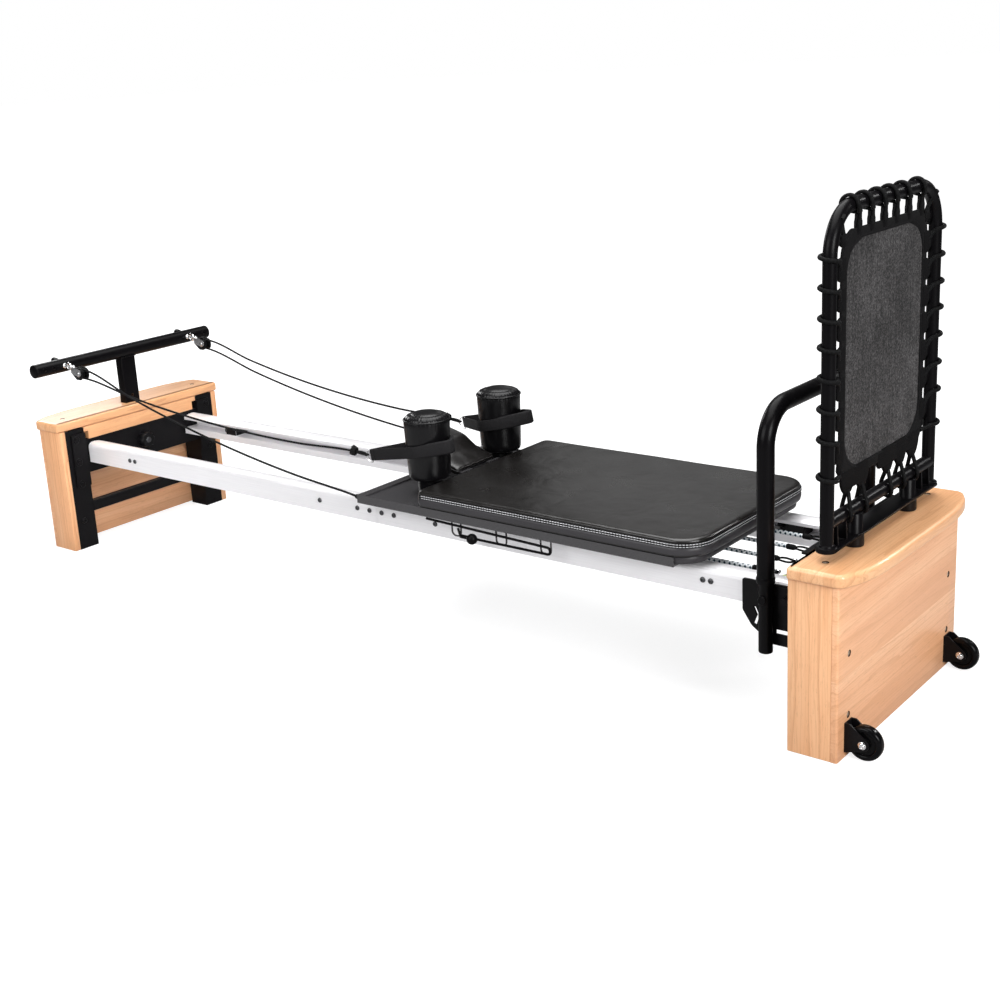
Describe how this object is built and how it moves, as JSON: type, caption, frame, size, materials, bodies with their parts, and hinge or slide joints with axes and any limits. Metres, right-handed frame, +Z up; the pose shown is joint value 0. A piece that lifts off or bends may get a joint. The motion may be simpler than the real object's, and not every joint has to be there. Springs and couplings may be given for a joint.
{
  "type": "pilates reformer",
  "caption": "Sliding padded carriage on two rails between wooden end boxes, with pulley bar, ropes, elastic cords, foot bar and a standing rebounder.",
  "frame": {"origin": "middle of the whole object on the floor", "axes": "+X from the head end (pulley bar) to the foot end (rebounder), +Y to the user's left when lying on the back, +Z up"},
  "size_m": [2.547, 0.622, 1.0307],
  "materials": {
    "wood": "light hardwood boards under clear satin lacquer",
    "black_steel": "black satin powder coat",
    "aluminium": "bright anodised extrusion",
    "vinyl": "black upholstery vinyl, fine grain, stitched seams",
    "plastic": "black moulded plastic",
    "rubber": "black rubber",
    "webbing": "black woven webbing",
    "rope": "black braided cord",
    "elastic": "white and black striped elastic cord sleeve",
    "mesh": "black woven trampoline mesh with a bound edge",
    "chrome": "polished steel fittings"
  },
  "bodies": {
    "frame": {"foot_side_board_right": "wood", "foot_side_board_left": "wood", "foot_end_panel": "wood", "foot_cap": "wood", "head_side_board_right": "wood", "head_side_board_left": "wood", "head_end_panel": "wood", "head_cap": "wood", "head_apron": "wood", "head_leg_right": "black_steel", "head_leg_left": "black_steel", "foot_leg_right": "black_steel", "foot_leg_left": "black_steel", "head_channel": "black_steel", "foot_channel": "black_steel", "head_crossbar": "black_steel", "foot_crossbar": "black_steel", "rail_head_right": "aluminium", "rail_head_left": "aluminium", "rail_foot_right": "aluminium", "rail_foot_left": "aluminium", "rail_splice_right": "black_steel", "rail_splice_left": "black_steel", "rail_stop_right": "rubber", "rail_stop_left": "rubber", "foot_bar_bracket_right": "black_steel", "foot_bar_bracket_left": "black_steel", "wheel_fork_right": "black_steel", "wheel_fork_left": "black_steel", "elastic_cord_1": "elastic", "elastic_cord_2": "elastic", "elastic_cord_3": "elastic", "elastic_cord_4": "elastic", "rope_right": "rope", "rope_left": "rope"},
    "carriage": {"carriage_tray": "black_steel", "carriage_board": "plastic", "carriage_cushion": "vinyl", "shoulder_rest_right": "vinyl", "shoulder_rest_left": "vinyl", "strap_right": "webbing", "strap_left": "webbing"},
    "headrest": {"headrest": "vinyl"},
    "slide_wire": {"slide_wire": "black_steel"},
    "pulley_bar": {"pulley_bar": "black_steel"},
    "height_knob": {"height_knob": "plastic"},
    "foot_bar": {"foot_bar": "black_steel"},
    "rebounder": {"rebounder_frame": "black_steel", "rebounder_mat": "mesh"},
    "roller_head_right": {"roller_head_right": "plastic"},
    "roller_head_left": {"roller_head_left": "plastic"},
    "roller_foot_right": {"roller_foot_right": "plastic"},
    "roller_foot_left": {"roller_foot_left": "plastic"},
    "pulley_block_right": {"pulley_block_right": "chrome"},
    "pulley_sheave_right": {"pulley_sheave_right": "plastic"},
    "transport_wheel_right": {"transport_wheel_right": "rubber"},
    "pulley_block_left": {"pulley_block_left": "chrome"},
    "pulley_sheave_left": {"pulley_sheave_left": "plastic"},
    "transport_wheel_left": {"transport_wheel_left": "rubber"}
  },
  "joints": [
    {"name": "carriage_slide", "type": "slide", "parent": "frame", "child": "carriage", "axis": [1, 0, 0], "range_m": [-0.9, 0], "stiffness_N_per_m": 100, "springref_m": 0.3, "deforming": ["elastic_cord_1", "elastic_cord_2", "elastic_cord_3", "elastic_cord_4", "rope_right", "rope_left"]},
    {"name": "headrest_tilt", "type": "hinge", "parent": "carriage", "child": "headrest", "pos_m": [0.1445, 0, 0.3575], "axis": [0, 1, 0], "range_deg": [-14, 35]},
    {"name": "slide_wire_travel", "type": "slide", "parent": "carriage", "child": "slide_wire", "axis": [1, 0, 0], "range_m": [0, 0.03]},
    {"name": "pulley_bar_height", "type": "slide", "parent": "frame", "child": "pulley_bar", "axis": [0, 0, 1], "range_m": [0, 0.05]},
    {"name": "height_knob_turn", "type": "hinge", "parent": "frame", "child": "height_knob", "pos_m": [-1.1395, 0, 0.265], "axis": [1, 0, 0], "continuous": true},
    {"name": "foot_bar_tilt", "type": "hinge", "parent": "frame", "child": "foot_bar", "pos_m": [1.0245, 0, 0.275], "axis": [0, 1, 0], "range_deg": [-30, 12]},
    {"name": "rebounder_lift", "type": "slide", "parent": "frame", "child": "rebounder", "axis": [0, 0, 1], "range_m": [0, 0.15]},
    {"name": "roller_head_right_spin", "type": "hinge", "parent": "carriage", "child": "roller_head_right", "pos_m": [0.0145, -0.173, 0.2773], "axis": [0, 1, 0], "continuous": true},
    {"name": "roller_head_left_spin", "type": "hinge", "parent": "carriage", "child": "roller_head_left", "pos_m": [0.0145, 0.173, 0.2773], "axis": [0, 1, 0], "continuous": true},
    {"name": "roller_foot_right_spin", "type": "hinge", "parent": "carriage", "child": "roller_foot_right", "pos_m": [0.8565, -0.173, 0.2773], "axis": [0, 1, 0], "continuous": true},
    {"name": "roller_foot_left_spin", "type": "hinge", "parent": "carriage", "child": "roller_foot_left", "pos_m": [0.8565, 0.173, 0.2773], "axis": [0, 1, 0], "continuous": true},
    {"name": "pulley_right_swivel", "type": "hinge", "parent": "pulley_bar", "child": "pulley_block_right", "pos_m": [-1.1305, -0.221, 0.529], "axis": [1, 0, 0], "range_deg": [-25, 25]},
    {"name": "sheave_right_spin", "type": "hinge", "parent": "pulley_block_right", "child": "pulley_sheave_right", "pos_m": [-1.0845, -0.221, 0.514], "axis": [0, 1, 0], "continuous": true},
    {"name": "transport_wheel_right_spin", "type": "hinge", "parent": "frame", "child": "transport_wheel_right", "pos_m": [1.2385, -0.24, 0.0355], "axis": [0, 1, 0], "continuous": true},
    {"name": "pulley_left_swivel", "type": "hinge", "parent": "pulley_bar", "child": "pulley_block_left", "pos_m": [-1.1305, 0.221, 0.529], "axis": [1, 0, 0], "range_deg": [-25, 25]},
    {"name": "sheave_left_spin", "type": "hinge", "parent": "pulley_block_left", "child": "pulley_sheave_left", "pos_m": [-1.0845, 0.221, 0.514], "axis": [0, 1, 0], "continuous": true},
    {"name": "transport_wheel_left_spin", "type": "hinge", "parent": "frame", "child": "transport_wheel_left", "pos_m": [1.2385, 0.24, 0.0355], "axis": [0, 1, 0], "continuous": true}
  ],
  "couplings": [
    {"joint": "roller_head_right_spin", "follows": "carriage_slide", "rad_per_m": 83.333},
    {"joint": "roller_head_left_spin", "follows": "carriage_slide", "rad_per_m": 83.333},
    {"joint": "roller_foot_right_spin", "follows": "carriage_slide", "rad_per_m": 83.333},
    {"joint": "roller_foot_left_spin", "follows": "carriage_slide", "rad_per_m": 83.333}
  ]
}
